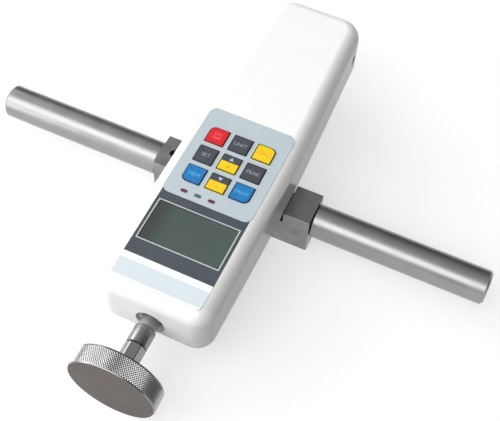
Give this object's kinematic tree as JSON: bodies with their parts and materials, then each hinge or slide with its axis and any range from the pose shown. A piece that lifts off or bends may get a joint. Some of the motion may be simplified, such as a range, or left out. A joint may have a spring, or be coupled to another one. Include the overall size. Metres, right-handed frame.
{
  "type": "digital force gauge",
  "caption": "Hand-held force gauge: tapered two-shell housing with keypad and display, spindle with a knurled pressure disc, and a cradle bar with round handle rods.",
  "frame": {"origin": "centre of the cradle bar's underside", "axes": "+X to the right along the handle rods, +Y from the pressure disc to the housing's tail, +Z from the back of the housing to its keypad face"},
  "size_m": [0.3054, 0.2716, 0.0587],
  "materials": {
    "white_shell": "smooth glossy white",
    "panel_foil": "satin blue-grey foil",
    "window_foil": "slate foil with a white frame line",
    "label_foil": "very pale blue foil",
    "display_glass": "grey-green liquid crystal display under a clear front",
    "circuit_board": "green solder mask",
    "contact_rubber": "plain moulded",
    "cell_aluminium": "milled",
    "bracket_steel": "zinc plated",
    "turned_steel": "turned, with a knurled rim on the disc",
    "bright_steel": "polished along its length",
    "screw_steel": "zinc plated",
    "black_steel": "blackened",
    "battery_wrap": "shrink wrap",
    "black_plastic": "plain moulded",
    "key_red": "satin printed foil",
    "key_dark": "satin printed foil",
    "key_yellow": "satin printed foil",
    "key_blue": "satin printed foil",
    "lamp_red": "tinted lens",
    "lamp_green": "tinted lens"
  },
  "bodies": {
    "gauge": {"front_shell": "white_shell", "back_cover": "white_shell", "keypad_panel": "panel_foil", "display_window": "window_foil", "label_foil": "label_foil", "display_module": "display_glass", "main_board": "circuit_board", "key_contact_sheet": "contact_rubber", "load_cell": "cell_aluminium", "cell_bracket": "bracket_steel", "battery_pack": "battery_wrap", "charger_jack": "black_plastic", "high_lamp": "lamp_red", "good_lamp": "lamp_green", "low_lamp": "lamp_red", "shell_screw_sensor_right": "screw_steel", "shell_screw_sensor_left": "screw_steel", "shell_screw_tail_right": "screw_steel", "shell_screw_tail_left": "screw_steel", "board_screw_sensor_right": "screw_steel", "board_screw_sensor_left": "screw_steel", "board_screw_tail_right": "screw_steel", "board_screw_tail_left": "screw_steel", "bracket_screw_right": "screw_steel", "bracket_screw_left": "screw_steel", "cell_bolt": "screw_steel", "cradle_bar": "bright_steel", "handle_rod_right": "bright_steel", "handle_rod_left": "bright_steel", "cradle_screw_right": "screw_steel", "cradle_screw_left": "screw_steel", "grub_screw": "black_steel"},
    "force_train": {"spindle": "turned_steel", "hex_coupler": "turned_steel", "pressure_disc": "turned_steel"},
    "power_key": {"power_key": "key_red"},
    "unit_key": {"unit_key": "key_dark"},
    "zero_key": {"zero_key": "key_yellow"},
    "set_key": {"set_key": "key_dark"},
    "up_key": {"up_key": "key_yellow"},
    "peak_key": {"peak_key": "key_dark"},
    "memory_key": {"memory_key": "key_blue"},
    "down_key": {"down_key": "key_yellow"},
    "print_key": {"print_key": "key_blue"}
  },
  "joints": [
    {"name": "spindle_travel", "type": "slide", "parent": "gauge", "child": "force_train", "axis": [0, 1, 0], "range_m": [-0.0002, 0.0002], "stiffness_N_per_m": 15000},
    {"name": "power_key_press", "type": "slide", "parent": "gauge", "child": "power_key", "axis": [0, 0, -1], "range_m": [0, 0.0004], "stiffness_N_per_m": 250, "springref_m": -0.0004},
    {"name": "unit_key_press", "type": "slide", "parent": "gauge", "child": "unit_key", "axis": [0, 0, -1], "range_m": [0, 0.0004], "stiffness_N_per_m": 250, "springref_m": -0.0004},
    {"name": "zero_key_press", "type": "slide", "parent": "gauge", "child": "zero_key", "axis": [0, 0, -1], "range_m": [0, 0.0004], "stiffness_N_per_m": 250, "springref_m": -0.0004},
    {"name": "set_key_press", "type": "slide", "parent": "gauge", "child": "set_key", "axis": [0, 0, -1], "range_m": [0, 0.0004], "stiffness_N_per_m": 250, "springref_m": -0.0004},
    {"name": "up_key_press", "type": "slide", "parent": "gauge", "child": "up_key", "axis": [0, 0, -1], "range_m": [0, 0.0004], "stiffness_N_per_m": 250, "springref_m": -0.0004},
    {"name": "peak_key_press", "type": "slide", "parent": "gauge", "child": "peak_key", "axis": [0, 0, -1], "range_m": [0, 0.0004], "stiffness_N_per_m": 250, "springref_m": -0.0004},
    {"name": "memory_key_press", "type": "slide", "parent": "gauge", "child": "memory_key", "axis": [0, 0, -1], "range_m": [0, 0.0004], "stiffness_N_per_m": 250, "springref_m": -0.0004},
    {"name": "down_key_press", "type": "slide", "parent": "gauge", "child": "down_key", "axis": [0, 0, -1], "range_m": [0, 0.0004], "stiffness_N_per_m": 250, "springref_m": -0.0004},
    {"name": "print_key_press", "type": "slide", "parent": "gauge", "child": "print_key", "axis": [0, 0, -1], "range_m": [0, 0.0004], "stiffness_N_per_m": 250, "springref_m": -0.0004}
  ]
}
